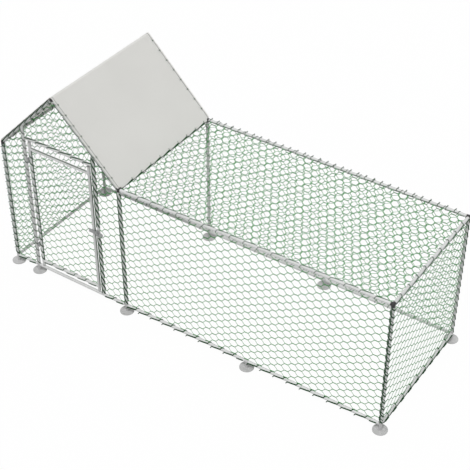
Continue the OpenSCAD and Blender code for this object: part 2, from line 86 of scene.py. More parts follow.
X_LATCH_STILE = middle("door_stile_latch").x
Z_DOOR_LOW = middle("door_rail_bottom").z
Z_DOOR_HIGH = middle("door_rail_top").z
# Room that wires leave for the fittings at a tube's ends
GAP = 1.5 * TUBE_R

# Netting: a row of meshes between its flats, a mesh's side, the step between columns, and two columns
ROW = 0.0585
SIDE = ROW / math.sqrt(3)
COLUMN = 1.5 * SIDE
PERIOD = 2 * COLUMN
WIRE_R = 0.0022
WIRE_SIDES = 4
# How flat the netting's wires are pressed, across its plane
WIRE_FLAT = 0.5
# Twist of two wires: half its length, its turns, and the steps in which it is drawn
TWIST_HALF = 0.45 * SIDE
TWIST_TURNS = 2
TWIST_STEPS = 8
# How far the netting is pulled longer along the run
NET_PULL = 1.012
# How far inside a tube's surface the netting's wires end
WIRE_BITE = 0.0008
# Waves of the stretched netting, out of its plane
NET_WAVE = 0.0015
NET_WAVE_SIZE = 0.35
# How far each wall's pattern is moved from its post and rail, by the way the netting was cut and hung
FRONT_SHIFT = (-0.0055, 0, 0.018)
BACK_SHIFT = (-0.026, 0, 0.0265)
DOOR_SHIFT = (0.0045, 0, -0.0087)
END_SHIFT = (0, -0.0225, -0.0145)
TOP_SHIFT = (-0.0455, 0.0290, 0)

# Lacing wound round the tubes, and the netting's edge wires
LACE_R = 0.0019
POST_LACE_R = 0.0024
# Finer lacing on the hinge post and the stile beside it, which come close as the door opens
HINGE_LACE_R = 0.0016
EDGE_WIRE_R = 0.0024
LACE_SIDES = 6
# Starts round a post whose lacing climbs through several rows in one turn
LACE_STARTS = 3
# Shares of a turn, and of its pitch, that the wire takes on the side where it shows
ACROSS_POST = (0.5, 0.75)
UP_POST = (0.5, 0.5)
ALONG_RAIL = (0.12, 0.68)
ALONG_EDGE = (0.12, 0.88)
ALONG_HEM = (0.07, 0.62)
# Points of a turn on that side, and on the rest of the turn
SHOWN_POINTS = 6
HIDDEN_POINTS = 9

# Sides of the tubes where wires lie, as directions across the tube
BESIDE_UPRIGHT = X - 0.2 * Y
OVER_DOOR_TOP = Z - 0.5 * Y
UNDER_DOOR_BOTTOM = -Y - Z
BEFORE_HEADER = Z - 1.6 * Y
UNDER_FRONT_RAIL = -Y - 0.5 * Z
OVER_TOP_FRONT = Z - 0.2 * Y
UNDER_TOP_BACK = -Y - 0.4 * Z
UNDER_TOP_JOINT = X - 0.4 * Z
UNDER_TOP_RIGHT = X - 0.5 * Z
ON_JOINT_HEM = X + 0.1 * Z
LEFT_OF_CORNER_POST = -Y - 0.3 * X
LEFT_OF_HINGE_POST = -Y - 0.6 * X

# Steps of a twist in the wires' cut ends: on posts and the back rail, under rails, beside them and on ties
KNOT_STEPS = 3
UNDER_RAIL_STEPS = 4
BESIDE_RAIL_STEPS = 12
TIE_STEPS = 2
# Which way the cut ends under the front rails point, and the share of the tube's radius, down and forward,
# at which they start
UNDER_RAIL_WAY = Vector((-0.6, -0.57, -0.57)).normalized()
UNDER_RAIL_SEAT = 0.7
# Where on its far side a wire leaves the back rail, as an angle above level, and the steps of its bend
WRAP_LIFT = math.radians(23)
WRAP_STEPS = 10

# Roof cloth: its thickness, the radius of its middle round a laced tube, half its width, and how far from
# upright it ends round the eaves
CLOTH_T = 0.0012
CLOTH_R = TUBE_R + 2 * LACE_R + CLOTH_T / 2
CLOTH_HALF = high("roof_cover").y
HEM_DOWN = math.radians(20)
# How far the cloth turns round an eave, and its way from the ridge to a lower edge
HEM_TURN = math.pi / 2 - PITCH - HEM_DOWN
HALF_GIRTH = CLOTH_R * PITCH + SLOPE + CLOTH_R * HEM_TURN
# How far the cloth sags between the tubes, and the powers that shape it along the slope and across it
CLOTH_SAG = 0.004
SAG_ALONG = 1.5
SAG_ACROSS = 4
# How far the cloth's corners stop short of its lower edges, over the connectors, and where across the cloth
# that starts and ends
CORNER_SHORT = CLOTH_R * HEM_TURN + 0.007
CORNER_START = Y_BACK - 0.026
CORNER_END = Y_BACK - 0.014
# Front and back hems: where the doubled cloth starts, half the width of its rise, half the seam's width,
# half the step of its stitches and half the gap between them
HEM_LINE = 0.5015
HEM_RISE = 0.001
SEAM_HALF = 0.0020
STITCH_HALF = 0.004
STITCH_GAP = 0.0012
# Ties of those hems, one for each row of meshes, and how far and how wide each draws the cloth in
TIE_PITCH = ROW / math.sin(PITCH)
TIE_FIRST = 0.6 * TIE_PITCH
TIE_R = 0.0010
TIE_SEGMENTS = 20
TIE_SIDES = 6
PUCKER = 0.0008
PUCKER_WIDTH = 0.03
# Where the lacing of the joint's hem starts, behind the front
HEM_LACE_START = 0.068
# The cloth's grid, and where shares of it lie, so that its lines are closer over the ridge and at the hems
GRID_ALONG = 200
GRID_ACROSS = 80
ACROSS_STOPS = [(0, 0), (0.6, 0.465), (1, CLOTH_HALF)]
REACH_STOPS = [(0, 0), (0.1, CLOTH_R * PITCH), (0.8, HALF_GIRTH - 0.03), (1, HALF_GIRTH)]
# Edges of the cloth sharper than this stay sharp
SHARP_EDGE = math.radians(40)

# Studio: floor, sky, sun and the photograph's camera
WHITE = (1, 1, 1, 1)
FLOOR_SIZE = 60
FLOOR_Z = -0.0005
FLOOR_PAINT = (0.4, 0.4, 0.4, 1)
FLOOR_GLOW = 1.03
FLOOR_GLOW_SHARE = 0.94
SKY_LIGHT = 0.60
SKY_SEEN = 1.0
SUN_TURN = (math.radians(24), math.radians(9), 0)
SUN_STRENGTH = 2.0
SUN_WIDTH = math.radians(25)
CAMERA_LENS = 93.5
CAMERA_SENSOR = 36
CAMERA_PLACE = (3.680, -5.359, 5.684)
CAMERA_TURN = (math.radians(51.785), 0, math.radians(33.969))


# Helpers for modelling by hand

def deselect():
    bpy.ops.object.select_all(action="DESELECT")


def pick(piece):
    deselect()
    piece.select_set(True)
    bpy.context.view_layer.objects.active = piece


def settle(piece):
    """Puts a piece's place, turn and size into its mesh."""
    pick(piece)
    bpy.ops.object.transform_apply(location=True, rotation=True, scale=True)


def apply_modifiers(piece):
    pick(piece)
    for modifier in list(piece.modifiers):
        bpy.ops.object.modifier_apply(modifier=modifier.name)


def copy_of(piece, name):
    twin = piece.copy()
    twin.data = piece.data.copy()
    twin.name = name
    bpy.context.scene.collection.objects.link(twin)
    return twin


def joined(piece, other):
    """One smooth piece of two."""
    pick(piece)
    other.select_set(True)
    bpy.ops.object.join()
    bpy.ops.object.shade_smooth()
    return piece


def array(piece, count, step, merge=False):
    modifier = piece.modifiers.new("rows", "ARRAY")
    modifier.count = count
    modifier.use_relative_offset = False
    modifier.use_constant_offset = True
    modifier.constant_offset_displace = step
    modifier.use_merge_vertices = merge
    modifier.merge_threshold = WIRE_R / 10


def lay(piece, along, up, origin):
    """Lays a piece modelled along X in the XZ plane into a plane of its own."""
    turn = Matrix((along, up.cross(along), up)).transposed().to_4x4()
    piece.matrix_world = Matrix.Translation(origin) @ turn
    settle(piece)


# Helpers for materials

def new_material(name, roughness, metallic=0.0):
    material = bpy.data.materials.new(name)
    material.use_nodes = True
    shader = material.node_tree.nodes["Principled BSDF"]
    shader.inputs["Roughness"].default_value = roughness
    shader.inputs["Metallic"].default_value = metallic
    return material, material.node_tree, shader


def add(tree, kind, **values):
    node = tree.nodes.new(kind)
    for name, value in values.items():
        if name in node.inputs:
            node.inputs[name].default_value = value
        else:
            setattr(node, name, value)
    return node


def maths(tree, operation, *values):
    """The result of an operation on numbers and other nodes' results."""
    node = add(tree, "ShaderNodeMath", operation=operation)
    for place, value in zip(node.inputs, values):
        if isinstance(value, float):
            place.default_value = value
        else:
            tree.links.new(value, place)
    return node.outputs["Value"]


def ramp(tree, source, stops):
    """Colours along a value, as pairs of place and colour."""
    node = tree.nodes.new("ShaderNodeValToRGB")
    while len(node.color_ramp.elements) < len(stops):
        node.color_ramp.elements.new(0.5)
    for element, (place, colour) in zip(node.color_ramp.elements, stops):
        element.position = place
        element.color = (*colour, 1)
    tree.links.new(source, node.inputs["Fac"])
    return node.outputs["Color"]


def spread(tree, source, lowest, highest):
    """A value from 0 to 1 spread between two others."""
    node = add(tree, "ShaderNodeMapRange")
    node.inputs["To Min"].default_value = lowest
    node.inputs["To Max"].default_value = highest
    tree.links.new(source, node.inputs["Value"])
    return node.outputs["Result"]


def noise(tree, place, scale, detail=3.0):
    node = add(tree, "ShaderNodeTexNoise", Scale=scale, Detail=detail)
    tree.links.new(place, node.inputs["Vector"])
    return node.outputs["Fac"]


def bump(tree, shader, height, strength, distance):
    node = add(tree, "ShaderNodeBump", Strength=strength, Distance=distance)
    tree.links.new(height, node.inputs["Height"])
    tree.links.new(node.outputs["Normal"], shader.inputs["Normal"])


def object_place(tree):
    return tree.nodes.new("ShaderNodeTexCoord").outputs["Object"]


# Materials

def galvanised(name, dark, light, spangle, metallic, roughness):
    """Zinc with its faint crystal spangle, clouded and a little rougher in patches."""
    cloud_share = 0.6
    patch = 0.08
    material, tree, shader = new_material(name, roughness, metallic)
    place = object_place(tree)
    crystals = add(tree, "ShaderNodeTexVoronoi", Scale=spangle)
    tree.links.new(place, crystals.inputs["Vector"])
    clouds = noise(tree, place, scale=9.0)
    blend = add(tree, "ShaderNodeMix", data_type="FLOAT")
    blend.inputs["Factor"].default_value = cloud_share
    grey = tree.nodes.new("ShaderNodeRGBToBW")
    tree.links.new(crystals.outputs["Color"], grey.inputs["Color"])
    tree.links.new(grey.outputs["Val"], blend.inputs["A"])
    tree.links.new(clouds, blend.inputs["B"])
    mottle = blend.outputs["Result"]
    tree.links.new(ramp(tree, mottle, [(0.25, dark), (0.75, light)]), shader.inputs["Base Color"])
    tree.links.new(spread(tree, mottle, roughness - patch, roughness + patch), shader.inputs["Roughness"])
    bump(tree, shader, mottle, strength=0.15, distance=0.0003)
    return material


def coated_wire(name, dark, light):
    """Green coating, a little worn and dusted along the wire."""
    material, tree, shader = new_material(name, roughness=0.45)
    shader.inputs["Specular IOR Level"].default_value = 0.1
    wear = noise(tree, object_place(tree), scale=60.0)
    tree.links.new(ramp(tree, wear, [(0.3, dark), (0.7, light)]), shader.inputs["Base Color"])
    tree.links.new(spread(tree, wear, 0.35, 0.55), shader.inputs["Roughness"])
    return material


def moulded_plastic():
    """Black moulded plastic with a fine grain."""
    material, tree, shader = new_material("black_moulded_plastic", roughness=0.5)
    grain = noise(tree, object_place(tree), scale=900.0, detail=2.0)
    colour = ramp(tree, grain, [(0.3, (0.006, 0.006, 0.006)), (0.7, (0.016, 0.016, 0.016))])
    tree.links.new(colour, shader.inputs["Base Color"])
    tree.links.new(spread(tree, grain, 0.42, 0.6), shader.inputs["Roughness"])
    bump(tree, shader, grain, strength=0.2, distance=0.0002)
    return material


def stitches(tree, uv):
    """The seams along the cloth's front and back hems, as a share of dark thread, whose darkness also paints
    the shade along each hem's step.
    """
    split = add(tree, "ShaderNodeSeparateXYZ")
    tree.links.new(uv, split.inputs["Vector"])
    across = maths(tree, "ABSOLUTE", split.outputs["Y"])
    seam = maths(tree, "COMPARE", across, HEM_LINE, SEAM_HALF)
    stitch = maths(tree, "PINGPONG", split.outputs["X"], STITCH_HALF)
    thread = maths(tree, "GREATER_THAN", stitch, STITCH_GAP)
    return maths(tree, "MULTIPLY", seam, thread)


def weave(tree, uv):
    """Threads of the cloth both ways, as one pattern of crossings."""
    ways = []
    for turn in (0.0, math.pi / 2):
        mapping = add(tree, "ShaderNodeMapping")
        mapping.inputs["Rotation"].default_value = (0, 0, turn)
        tree.links.new(uv, mapping.inputs["Vector"])
        threads = add(tree, "ShaderNodeTexWave", Scale=130.0)
        tree.links.new(mapping.outputs["Vector"], threads.inputs["Vector"])
        ways.append(threads.outputs["Fac"])
    return maths(tree, "MULTIPLY", *ways)


def woven_cloth():
    """Light grey coated cloth: a fine weave, faint clouds, stitched hems in dark thread that also paints the
    shade along each hem's step, and some light through it.
    """
    # Stitch thread, darkened so that it also paints the shade along the hem's step
    thread_and_painted_shade_colour = (0.10, 0.11, 0.10, 1)
    weave_shade = 0.12
    light_through = 0.3
    material, tree, shader = new_material("roof_cloth_weave", roughness=0.62)
    uv = add(tree, "ShaderNodeUVMap", uv_map="cloth").outputs["UV"]
    crossing = weave(tree, uv)
    clouds = noise(tree, uv, scale=3.0)
    base = ramp(tree, clouds, [(0.3, (0.855, 0.85, 0.825)), (0.7, (0.88, 0.875, 0.85))])
    stitched = add(tree, "ShaderNodeMix", data_type="RGBA")
    stitched.inputs["B"].default_value = thread_and_painted_shade_colour
    tree.links.new(stitches(tree, uv), stitched.inputs["Factor"])
    tree.links.new(base, stitched.inputs["A"])
    shade = add(tree, "ShaderNodeMix", data_type="RGBA", blend_type="MULTIPLY")
    shade.inputs["Factor"].default_value = weave_shade
    tree.links.new(stitched.outputs["Result"], shade.inputs["A"])
    tree.links.new(crossing, shade.inputs["B"])
    tree.links.new(shade.outputs["Result"], shader.inputs["Base Color"])
    shader.inputs["Sheen Weight"].default_value = 0.15
    through = add(tree, "ShaderNodeBsdfTranslucent")
    tree.links.new(shade.outputs["Result"], through.inputs["Color"])
    mix = add(tree, "ShaderNodeMixShader", Fac=light_through)
    tree.links.new(shader.outputs["BSDF"], mix.inputs[1])
    tree.links.new(through.outputs["BSDF"], mix.inputs[2])
    tree.links.new(mix.outputs["Shader"], tree.nodes["Material Output"].inputs["Surface"])
    bump(tree, shader, crossing, strength=0.25, distance=0.0004)
    return material


TUBE_ZINC = galvanised("galvanised_tube_zinc", (0.52, 0.525, 0.52), (0.65, 0.655, 0.65),
                       spangle=160.0, metallic=0.12, roughness=0.42)
FOOT_ZINC = galvanised("foot_plate_zinc", (0.42, 0.42, 0.42), (0.52, 0.52, 0.52),
                       spangle=120.0, metallic=0.15, roughness=0.5)
FITTING_ZINC = galvanised("fitting_zinc", (0.26, 0.27, 0.27), (0.36, 0.37, 0.37),
                          spangle=300.0, metallic=0.6, roughness=0.35)
GREEN_WIRE = coated_wire("green_mesh_wire", (0.003, 0.200, 0.016), (0.008, 0.290, 0.032))
# The netting's green coated wire in a darker copy, for lacing, edge wires, cut ends and ties: the extra
# darkness is painted shade, standing for these wires' shadows on the tubes under them.
DARK_WIRE_PAINTED_SHADE = coated_wire("green_wire_painted_shade", (0.002, 0.038, 0.007), (0.005, 0.064, 0.013))
BLACK_PLASTIC = moulded_plastic()
ROOF_CLOTH = woven_cloth()

FINISHES = {
    "galvanised_tube": TUBE_ZINC,
    "foot_steel": FOOT_ZINC,
    "zinc_hardware": FITTING_ZINC,
    "black_plastic": BLACK_PLASTIC,
    "green_wire": GREEN_WIRE,
    "roof_cloth": ROOF_CLOTH,
}


def finish_piece(piece, slot, body, material=None):
    piece.data.materials.clear()
    piece.data.materials.append(material or FINISHES[slot])
    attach(piece, body)


for part in frame["record"]["subparts"]:
    node = nodes[part["node"]]
    for place in node.material_slots:
        place.material = FINISHES[part["material_slot"]]


# Netting

def draw_wire(name, path, leans):
    """A wire drawn ring by ring along a path; a ring's lean tips it up from square to X."""
    deselect()
    bpy.ops.mesh.primitive_circle_add(
        vertices=WIRE_SIDES, radius=WIRE_R, location=path[0], rotation=(0, math.pi / 2, 0))
    wire = bpy.context.object
    wire.name = name
    settle(wire)
    bpy.ops.object.mode_set(mode="EDIT")
    bpy.ops.mesh.select_all(action="SELECT")
    for last, here, last_lean, lean in zip(path, path[1:], leans, leans[1:]):
        bpy.ops.mesh.extrude_region_move(TRANSFORM_OT_translate={"value": here - last})
        if lean != last_lean:
            bpy.ops.transform.rotate(value=lean - last_lean, orient_axis="Y", center_override=here)
    bpy.ops.mesh.edge_face_add()
    bpy.ops.object.mode_set(mode="OBJECT")
    return wire


def twist(centre, side, first, last):
    """A strand's places round its neighbour, from one step of the twist to another."""
    path = []
    for step in range(first, last + 1):
        turn = 2 * math.pi * TWIST_TURNS * step / TWIST_STEPS
        reach = TWIST_HALF * (2 * step / TWIST_STEPS - 1)
        offset = Vector((reach, side * WIRE_R * math.sin(turn), side * WIRE_R * math.cos(turn)))
        path.append(centre + offset)
    return path


def model_mesh_pair():
    """Two neighbouring wires over two columns: twisted together, parted, and twisted with the next ones."""
    half = TWIST_STEPS // 2
    path = twist(Vector((0, 0, 0)), 1, half, TWIST_STEPS)
    path += twist(Vector((COLUMN, 0, ROW / 2)), -1, 0, TWIST_STEPS)
    path += twist(Vector((PERIOD, 0, 0)), 1, 0, half)
    rise = math.atan2(ROW / 2 - 2 * WIRE_R, COLUMN - 2 * TWIST_HALF) / 2
    leans = [0.0] * len(path)
    leans[half] = leans[half + 1] = rise
    leans[-half - 1] = leans[-half - 2] = -rise
    upper = draw_wire("mesh_wire_upper", path, leans)
    lower = copy_of(upper, "mesh_wire_lower")
    lower.rotation_euler = (math.pi, 0, 0)
    settle(lower)
    pair = joined(upper, lower)
    pair.scale = (1, WIRE_FLAT, 1)
    settle(pair)
    return pair


def trim(piece, corners):
    """Cuts netting off along an outline through the tubes' centres, just inside their surfaces."""
    centre = sum(corners, Vector()) / len(corners)
    face = (corners[1] - corners[0]).cross(corners[2] - corners[1])
    pick(piece)
    bpy.ops.object.mode_set(mode="EDIT")
    for corner, following in zip(corners, corners[1:] + corners[:1]):
        inward = face.cross(following - corner).normalized()
        if inward.dot(centre - corner) < 0:
            inward = -inward
        bpy.ops.mesh.select_all(action="SELECT")
        bpy.ops.mesh.bisect(
            plane_co=corner + inward * (TUBE_R - WIRE_BITE), plane_no=-inward, clear_outer=True)
    bpy.ops.object.mode_set(mode="OBJECT")


def stretch_netting(name, node, body, corners, along, up, origin):
    """Netting for one wall, from the modelled pair of wires, with its pattern counted from an origin."""
    net = copy_of(MESH_PAIR, name)
    spans = []
    for direction, step in ((along, PERIOD), (up, ROW)):
        reaches = [(corner - origin).dot(direction) / step for corner in corners]
        spans.append((math.floor(min(reaches)), math.ceil(max(reaches)) + 1))
    (first_column, end_column), (first_row, end_row) = spans
    array(net, end_column - first_column, (PERIOD, 0, 0), merge=True)
    array(net, end_row - first_row, (0, 0, ROW))
    apply_modifiers(net)
    lay(net, along, up, origin + along * first_column * PERIOD + up * first_row * ROW)
    pull = Matrix.Scale(NET_PULL, 4, X)
    net.matrix_world = Matrix.Translation(origin) @ pull @ Matrix.Translation(-origin)
    settle(net)
    trim(net, corners)
    across = along.cross(up)
    wave = net.modifiers.new("waves", "DISPLACE")
    wave.texture = NET_WAVES
    wave.texture_coords = "LOCAL"
    wave.direction = "XYZ"[max(range(3), key=lambda axis: abs(across[axis]))]
    wave.strength = NET_WAVE
    apply_modifiers(net)
    finish_piece(net, "green_wire", body)
    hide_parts(node)


NET_WAVES = bpy.data.textures.new("net_waves", "CLOUDS")
NET_WAVES.noise_scale = NET_WAVE_SIZE
MESH_PAIR = model_mesh_pair()


def shifted(place, shift):
    return Vector([start + move for start, move in zip(place, shift)])


def wall(y, places):
    return [Vector((x, y, z)) for x, z in places]


def front_and_back_walls():
    """Walls along the run. Their patterns start about half a column left of the joint posts."""
    hinge_side = [(X_LEFT, Z_RAIL), (X_HINGE_POST, Z_RAIL), (X_HINGE_POST, Z_DOOR_POST), (X_LEFT, Z_EAVE)]
    latch_side = [(X_LATCH_POST, Z_RAIL), (X_JOINT, Z_RAIL), (X_JOINT, Z_EAVE), (X_LATCH_POST, Z_DOOR_POST)]
    gable = [(X_HINGE_POST, Z_HEADER), (X_LATCH_POST, Z_HEADER), (X_LATCH_POST, Z_DOOR_POST),
             (X_RIDGE, Z_RIDGE), (X_HINGE_POST, Z_DOOR_POST)]
    back_bay = [(X_LEFT, Z_RAIL), (X_JOINT, Z_RAIL), (X_JOINT, Z_EAVE),
                (X_RIDGE, Z_RIDGE), (X_LEFT, Z_EAVE)]
    run = [(X_JOINT, Z_RAIL), (X_RIGHT, Z_RAIL), (X_RIGHT, Z_EAVE), (X_JOINT, Z_EAVE)]
    front = shifted((X_JOINT - COLUMN / 2, Y_FRONT, Z_RAIL), FRONT_SHIFT)
    back = shifted((X_JOINT - COLUMN / 2, Y_BACK, Z_RAIL), BACK_SHIFT)
    for name, node, y, places, origin in (
            ("hinge_side_netting", "net_hinge_side", Y_FRONT, hinge_side, front),
            ("latch_side_netting", "net_latch_side", Y_FRONT, latch_side, front),
            ("gable_netting", "net_gable", Y_FRONT, gable, front),
            ("back_bay_netting", "net_back_bay", Y_BACK, back_bay, back),
            ("front_run_netting", "net_front_run", Y_FRONT, run, front),
            ("back_run_netting", "net_back_run", Y_BACK, run, back)):
        stretch_netting(name, node, "frame", wall(y, places), X, Z, origin)


def end_walls():
    outline = [(Y_FRONT, Z_RAIL), (Y_BACK, Z_RAIL), (Y_BACK, Z_EAVE), (Y_FRONT, Z_EAVE)]
    for name, node, x in (
            ("left_end_netting", "net_left", X_LEFT),
            ("right_end_netting", "net_right", X_RIGHT)):
        corners = [Vector((x, y, z)) for y, z in outline]
        origin = shifted((x, Y_FRONT - COLUMN / 2, Z_RAIL), END_SHIFT)
        stretch_netting(name, node, "frame", corners, Y, Z, origin)


def flat_top():
    outline = [(X_JOINT, Y_FRONT), (X_RIGHT, Y_FRONT), (X_RIGHT, Y_BACK), (X_JOINT, Y_BACK)]
    corners = [Vector((x, y, Z_EAVE)) for x, y in outline]
    origin = shifted((X_JOINT, Y_FRONT - COLUMN / 2, Z_EAVE), TOP_SHIFT)
    stretch_netting("top_netting", "net_top", "frame", corners, Y, X, origin)


def door_panel():
    outline = [(X_HINGE_STILE, Z_DOOR_LOW), (X_LATCH_STILE, Z_DOOR_LOW),
               (X_LATCH_STILE, Z_DOOR_HIGH), (X_HINGE_STILE, Z_DOOR_HIGH)]
    origin = shifted((X_JOINT - COLUMN / 2, Y_FRONT, Z_RAIL), DOOR_SHIFT)
    stretch_netting("door_netting", "door_net", "door", wall(Y_FRONT, outline), X, Z, origin)


front_and_back_walls()
end_walls()
flat_top()
door_panel()
bpy.data.objects.remove(MESH_PAIR)


# Lacing, edge wires and cut ends

def winding(length, pitch, shown, reach, lag):
    """Points of a wire wound round a tube that stands on the origin, starting on its right."""
    turn_share, pitch_share = shown
    steps = [(turn_share * i / SHOWN_POINTS, pitch_share * i / SHOWN_POINTS) for i in range(SHOWN_POINTS)]
    for i in range(HIDDEN_POINTS):
        steps.append((turn_share + (1 - turn_share) * i / HIDDEN_POINTS,
                      pitch_share + (1 - pitch_share) * i / HIDDEN_POINTS))
    points = []
    for turn in range(math.ceil(length / pitch)):
        for around, along in steps:
            angle = -2 * math.pi * (turn + around) - lag
            outward = Vector((math.cos(angle), math.sin(angle), 0))
            points.append(outward * reach + Z * pitch * (turn + along))
    return [point for point in points if point.z <= length]


def bend_wire(name, paths, thick):
    """Round wires bent along paths of points, as one mesh."""
    curve = bpy.data.curves.new(name, "CURVE")
    curve.dimensions = "3D"
    curve.bevel_depth = thick
    curve.bevel_resolution = LACE_SIDES // 2 - 2
    curve.use_fill_caps = True
    for path in paths:
        line = curve.splines.new("POLY")
        line.points.add(len(path) - 1)
        for point, place in zip(line.points, path):
            point.co = (*place, 1)
    wire = bpy.data.objects.new(name, curve)
    bpy.context.scene.collection.objects.link(wire)
    pick(wire)
    bpy.ops.object.convert(target="MESH")
    bpy.ops.object.shade_smooth()
    return bpy.context.object


def lace(name, start, end, pitch, right, shown,
         body="frame", strands=2, thick=LACE_R, starts=1, over=TUBE_R):
    """Strands wound round a tube between two points of its axis, one turn to a pitch, from even starts."""
    run = end - start
    reach = over + thick
    lags = [2 * math.pi * first / starts + strand * 2 * thick / reach
            for first in range(starts) for strand in range(strands)]
    paths = [winding(run.length, pitch, shown, reach, lag) for lag in lags]
    wire = bend_wire(name, paths, thick)
    lay(wire, right.normalized(), run.normalized(), start)
    finish_piece(wire, "green_wire", body, DARK_WIRE_PAINTED_SHADE)


def lace_upright(name, x, y, bottom, top, pitch, right, shown, **wire):
    lace("lacing_" + name, Vector((x, y, bottom)), Vector((x, y, top)), pitch, right, shown, **wire)


def lace_along_x(name, first, last, y, z, side, shown, **wire):
    """One turn for each pair of columns, lying along the tube on one side and then passing round it."""
    lace("lacing_" + name, Vector((first + GAP, y, z)), Vector((last - GAP, y, z)), PERIOD, side, shown,
         **wire)


def lace_along_y(name, x, z, side, **wire):
    """The same on a tube from front to back."""
    lace("lacing_" + name, Vector((x, Y_FRONT + GAP, z)), Vector((x, Y_BACK - GAP, z)), PERIOD, side,
         ALONG_RAIL, **wire)


def lace_posts():
    """Lacing that crosses an upright once for each row of meshes, or every other row on two back posts."""
    first = Z_RAIL + ROW * (1 - ACROSS_POST[1])
    top = Z_EAVE - GAP
    door_post_top = Z_DOOR_POST - GAP
    plate_low = low("staple_plate").z - POST_LACE_R
    plate_high = first + ROW * math.ceil((high("staple_plate").z + POST_LACE_R - first) / ROW)
    for name, x, bottom, end in (
            ("post_latch_lower", X_LATCH_POST, first, plate_low),
            ("post_latch_upper", X_LATCH_POST, plate_high, door_post_top),
            ("post_front_joint", X_JOINT, first, top)):
        lace_upright(name, x, Y_FRONT, bottom, end, LACE_STARTS * ROW, X, UP_POST,
                     thick=POST_LACE_R, starts=LACE_STARTS)
    lace_upright("post_hinge", X_HINGE_POST, Y_FRONT, first, door_post_top, ROW, X, ACROSS_POST,
                 thick=HINGE_LACE_R)
    for name, x in (("post_front_left", X_LEFT), ("post_front_right", X_RIGHT)):
        lace_upright(name, x, Y_FRONT, first, top, ROW, X, ACROSS_POST, thick=POST_LACE_R)
    lace_upright("post_right_end", X_RIGHT, Y_FRONT, first, top, ROW, Y, ACROSS_POST, strands=1)
    for name, x in (("post_back_left", X_LEFT), ("post_back_joint", X_JOINT)):
        lace_upright(name, x, Y_BACK, first, top, 2 * ROW, -X, ACROSS_POST, strands=1)
    lace_upright("post_back_right", X_RIGHT, Y_BACK, first, top, ROW, X, ALONG_RAIL)
    lace_upright("door_stile", X_HINGE_STILE, Y_FRONT, Z_DOOR_LOW + GAP, Z_DOOR_HIGH - GAP, ROW, X,
                 ACROSS_POST, body="door", strands=3, thick=HINGE_LACE_R)


def edge_wire(name, start, end, side, body="frame"):
    """The netting's edge wire, laid along one side of a tube between two points of its axis."""
    beside = side.normalized() * (TUBE_R + EDGE_WIRE_R)
    wire = bend_wire(name, [[start + beside, end + beside]], EDGE_WIRE_R)
    finish_piece(wire, "green_wire", body, DARK_WIRE_PAINTED_SHADE)


def edge_wires():
    """Edge wires along the door's sides and top, the front corner posts and the right bottom rail."""
    for name, x in (("stile_hinge", X_HINGE_STILE), ("stile_latch", X_LATCH_STILE)):
        edge_wire("edge_wire_" + name, Vector((x, Y_FRONT, Z_DOOR_LOW + GAP)),
                  Vector((x, Y_FRONT, Z_DOOR_HIGH - GAP)), BESIDE_UPRIGHT, "door")
    for name, x, side in (("front_left", X_LEFT, BESIDE_UPRIGHT), ("front_right", X_RIGHT, -Y)):
        edge_wire("edge_wire_" + name, Vector((x, Y_FRONT, Z_RAIL + GAP)),
                  Vector((x, Y_FRONT, Z_EAVE - GAP)), side)
    edge_wire("edge_wire_bottom_right", Vector((X_RIGHT, Y_FRONT + GAP, Z_RAIL)),
              Vector((X_RIGHT, Y_BACK - GAP, Z_RAIL)), X)
    edge_wire("edge_wire_door_top", Vector((X_HINGE_STILE + GAP, Y_FRONT, Z_DOOR_HIGH)),
              Vector((X_LATCH_STILE - GAP, Y_FRONT, Z_DOOR_HIGH)), OVER_DOOR_TOP, "door")


def lace_rails():
    """Lacing on the rails, the header and the door's bottom. The threshold and left bottom rail are bare."""
    for name, first, last in (
            ("bottom_hinge_side", X_LEFT, X_HINGE_POST),
            ("bottom_latch_side", X_LATCH_POST, X_JOINT),
            ("bottom_front_inner", X_JOINT, X_RUN_MIDDLE),
            ("bottom_front_outer", X_RUN_MIDDLE, X_RIGHT)):
        lace_along_x(name, first, last, Y_FRONT, Z_RAIL, UNDER_FRONT_RAIL, ALONG_RAIL, thick=POST_LACE_R)
    for name, first, last in (
            ("bottom_back_bay", X_LEFT, X_JOINT),
            ("bottom_back_inner", X_JOINT, X_RUN_MIDDLE),
            ("bottom_back_outer", X_RUN_MIDDLE, X_RIGHT)):
        lace_along_x(name, first, last, Y_BACK, Z_RAIL, Y, ALONG_EDGE, strands=1)
    lace_along_x("top_front_inner", X_JOINT + COLUMN, X_RIGHT, Y_FRONT, Z_EAVE, OVER_TOP_FRONT, ALONG_RAIL,
                 strands=1)
    lace_along_x("top_back", X_JOINT, X_RIGHT, Y_BACK, Z_EAVE, UNDER_TOP_BACK, ALONG_EDGE, strands=1)
    lace_along_x("header", X_HINGE_POST, X_LATCH_POST, Y_FRONT, Z_HEADER, BEFORE_HEADER, ALONG_EDGE)
    lace_along_y("bottom_right", X_RIGHT, Z_RAIL, X, strands=1)
    lace_along_y("top_left", X_LEFT, Z_EAVE, -X)
    lace_along_y("top_joint", X_JOINT, Z_EAVE, UNDER_TOP_JOINT, strands=3)
    lace_along_y("top_right", X_RIGHT, Z_EAVE, UNDER_TOP_RIGHT)
    lace_along_x("door_bottom", X_HINGE_STILE, X_LATCH_STILE, Y_FRONT, Z_DOOR_LOW, UNDER_DOOR_BOTTOM,
                 ALONG_RAIL, body="door")


def lace_rafters():
    """Lacing on three rafters. The back left one is bare."""
    for name, eave_x, y, outward in (
            ("front_left", X_LEFT, Y_FRONT, -Y),
            ("front_right", X_JOINT, Y_FRONT, -Y),
            ("back_right", X_JOINT, Y_BACK, Y)):
        eave = Vector((eave_x, y, Z_EAVE))
        ridge = Vector((X_RIDGE, y, Z_RIDGE))
        slope = (ridge - eave).normalized()
        lace("lacing_rafter_" + name, eave + slope * GAP, ridge - slope * GAP, ROW / math.sin(PITCH),
             outward, ALONG_EDGE)


def model_cut_end(steps):
    """Two wire ends left twisted together where the netting was cut, pointing along X."""
    path = twist(Vector((TWIST_HALF, 0, 0)), 1, 0, steps)
    one = draw_wire("cut_end", path, [0.0] * len(path))
    other = copy_of(one, "cut_end_other")
    other.rotation_euler = (math.pi, 0, 0)
    settle(other)
    return joined(one, other)


